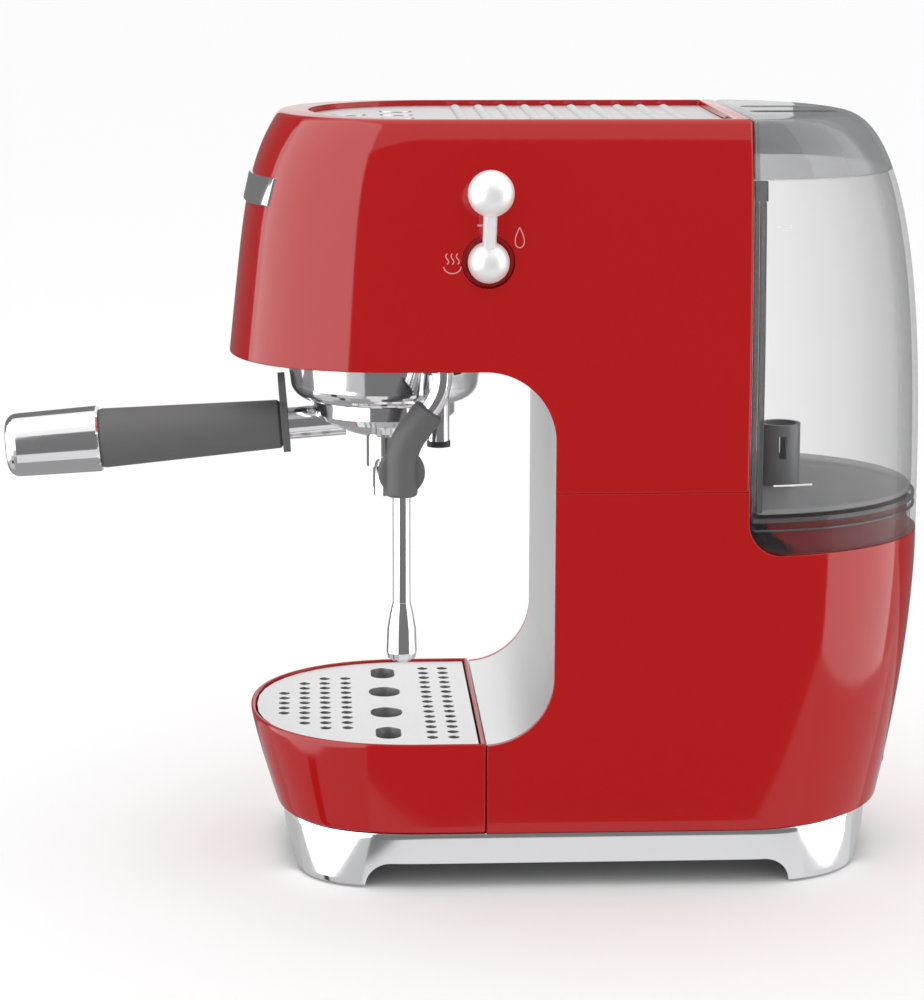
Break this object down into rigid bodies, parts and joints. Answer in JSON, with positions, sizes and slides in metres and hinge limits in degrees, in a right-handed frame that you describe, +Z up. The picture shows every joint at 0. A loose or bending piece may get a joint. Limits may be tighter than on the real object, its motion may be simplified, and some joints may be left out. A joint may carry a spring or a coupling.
{
  "type": "espresso machine",
  "caption": "Slim retro pump espresso machine with bayonet group, portafilter, steam wand, side lever, drip tray and lift-off rear water tank.",
  "frame": {"origin": "middle of the base, between the feet, on the worktop", "axes": "+Z up, -Y to the front where the handle points, +X to the user's right, the lever side"},
  "size_m": [0.1721, 0.4045, 0.33],
  "materials": {
    "red_paint": "gloss",
    "satin_steel": "satin",
    "chrome": "polished",
    "grey_rubber": "matte",
    "dark_plastic": "matte",
    "grey_plastic": "satin",
    "black_rubber": "matte",
    "smoke_clear": "clear",
    "brass": "satin",
    "cast_aluminium": "satin",
    "board_green": "satin",
    "zinc_steel": "satin"
  },
  "bodies": {
    "machine": {"upper_housing": "red_paint", "lower_housing": "red_paint", "niche_panel": "satin_steel", "base_ring": "chrome", "base_plate": "dark_plastic", "foot_pads": "black_rubber", "base_screws": "zinc_steel", "inner_frame": "dark_plastic", "top_plate": "satin_steel", "control_board": "board_green", "thermoblock": "cast_aluminium", "thermoblock_screws": "zinc_steel", "group_head": "brass", "bayonet_ring": "chrome", "group_shroud": "chrome", "group_gasket": "black_rubber", "shower_screen": "satin_steel", "shower_screw": "zinc_steel", "pump": "zinc_steel", "pump_mounts": "black_rubber", "steam_valve": "brass", "lever_bezel": "red_paint", "water_nozzle": "chrome", "nozzle_ring": "dark_plastic", "wand_socket": "dark_plastic", "tank_coupling": "grey_plastic", "coupling_seal": "black_rubber", "suction_hose": "black_rubber", "pressure_hose": "black_rubber", "cord_gland": "black_rubber", "nose_badge": "chrome"},
    "lever": {"lever_spindle": "zinc_steel", "lever_hub": "chrome", "lever_stem": "chrome", "lever_knob": "chrome"},
    "wand_swivel": {"wand_collar": "dark_plastic"},
    "wand": {"wand_ball": "chrome", "wand_pipe": "chrome", "wand_grip": "grey_rubber", "wand_tube": "chrome", "wand_nozzle": "chrome"},
    "portafilter": {"portafilter_bowl": "chrome", "portafilter_neck": "chrome", "portafilter_spout": "chrome", "filter_basket": "satin_steel", "handle_flange": "grey_rubber", "handle_rod": "zinc_steel", "handle_grip": "grey_rubber", "handle_cap": "chrome"},
    "drip_tray": {"tray_front": "red_paint", "tray_basin": "dark_plastic"},
    "grille": {"drip_grille": "satin_steel"},
    "tank": {"tank_shell": "smoke_clear", "tank_valve": "grey_plastic"},
    "lid": {"tank_lid": "smoke_clear"},
    "key_front": {"button_front": "satin_steel"},
    "key_left": {"button_left": "satin_steel"},
    "key_middle": {"button_middle": "satin_steel"},
    "key_right": {"button_right": "satin_steel"}
  },
  "joints": [
    {"name": "lever_turn", "type": "hinge", "parent": "machine", "child": "lever", "pos_m": [0.0735, -0.043, 0.272], "axis": [1, 0, 0], "range_deg": [-50, 90]},
    {"name": "wand_swivel", "type": "hinge", "parent": "machine", "child": "wand_swivel", "pos_m": [0.056, -0.0615, 0.229], "axis": [0, 0, 1], "range_deg": [-15, 40]},
    {"name": "wand_tilt", "type": "hinge", "parent": "wand_swivel", "child": "wand", "pos_m": [0.056, -0.0615, 0.229], "axis": [0, -1, 0], "range_deg": [0, 30]},
    {"name": "portafilter_turn", "type": "hinge", "parent": "machine", "child": "portafilter", "pos_m": [0, -0.0845, 0.2075], "axis": [0, 0, 1], "range_deg": [-45, 0]},
    {"name": "tray_slide", "type": "slide", "parent": "machine", "child": "drip_tray", "axis": [0, -1, 0], "range_m": [0, 0.11]},
    {"name": "grille_lift", "type": "slide", "parent": "drip_tray", "child": "grille", "axis": [0, 0, 1], "range_m": [0, 0.025]},
    {"name": "tank_lift", "type": "slide", "parent": "machine", "child": "tank", "axis": [0, 0, 1], "range_m": [0, 0.2]},
    {"name": "lid_lift", "type": "slide", "parent": "tank", "child": "lid", "axis": [0, 0, 1], "range_m": [0, 0.08]},
    {"name": "press_front", "type": "slide", "parent": "machine", "child": "key_front", "axis": [0, 0, -1], "range_m": [0, 0.0015], "stiffness_N_per_m": 600, "springref_m": -0.0005},
    {"name": "press_left", "type": "slide", "parent": "machine", "child": "key_left", "axis": [0, 0, -1], "range_m": [0, 0.0015], "stiffness_N_per_m": 600, "springref_m": -0.0005},
    {"name": "press_middle", "type": "slide", "parent": "machine", "child": "key_middle", "axis": [0, 0, -1], "range_m": [0, 0.0015], "stiffness_N_per_m": 600, "springref_m": -0.0005},
    {"name": "press_right", "type": "slide", "parent": "machine", "child": "key_right", "axis": [0, 0, -1], "range_m": [0, 0.0015], "stiffness_N_per_m": 600, "springref_m": -0.0005}
  ]
}
